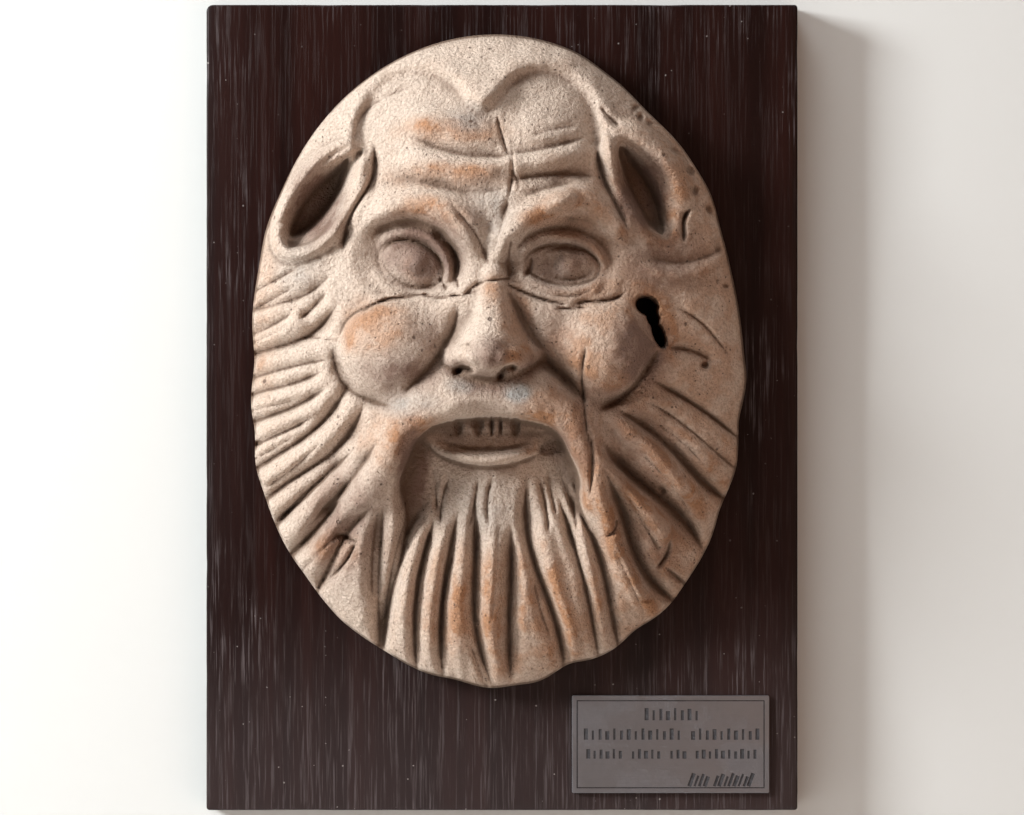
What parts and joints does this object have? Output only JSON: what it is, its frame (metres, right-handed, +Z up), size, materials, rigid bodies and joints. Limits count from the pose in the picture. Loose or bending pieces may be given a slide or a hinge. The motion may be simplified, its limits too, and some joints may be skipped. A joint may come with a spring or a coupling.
{
  "type": "mask wall plaque",
  "caption": "Oval relief mask of a bearded, horse-eared wood spirit in fired clay, on a flat wooden board with a small metal plate.",
  "frame": {"origin": "middle of the board's back face, where it meets the wall", "axes": "+Y into the wall, so the mask faces -Y; +Z up; +X to the viewer's right"},
  "size_m": [0.24, 0.0801, 0.327],
  "materials": {
    "stained_wood": "dark stained and waxed, brushed upright grain, dusty, worn edges",
    "terracotta": "unglazed fired clay, matt, with pale and grey dust, orange patches, pores and cracks",
    "engraved_metal": "silver grey sheet with shallow engraved strokes"
  },
  "bodies": {
    "root": {"board": "stained_wood", "mask": "terracotta", "plate": "engraved_metal"}
  },
  "joints": []
}
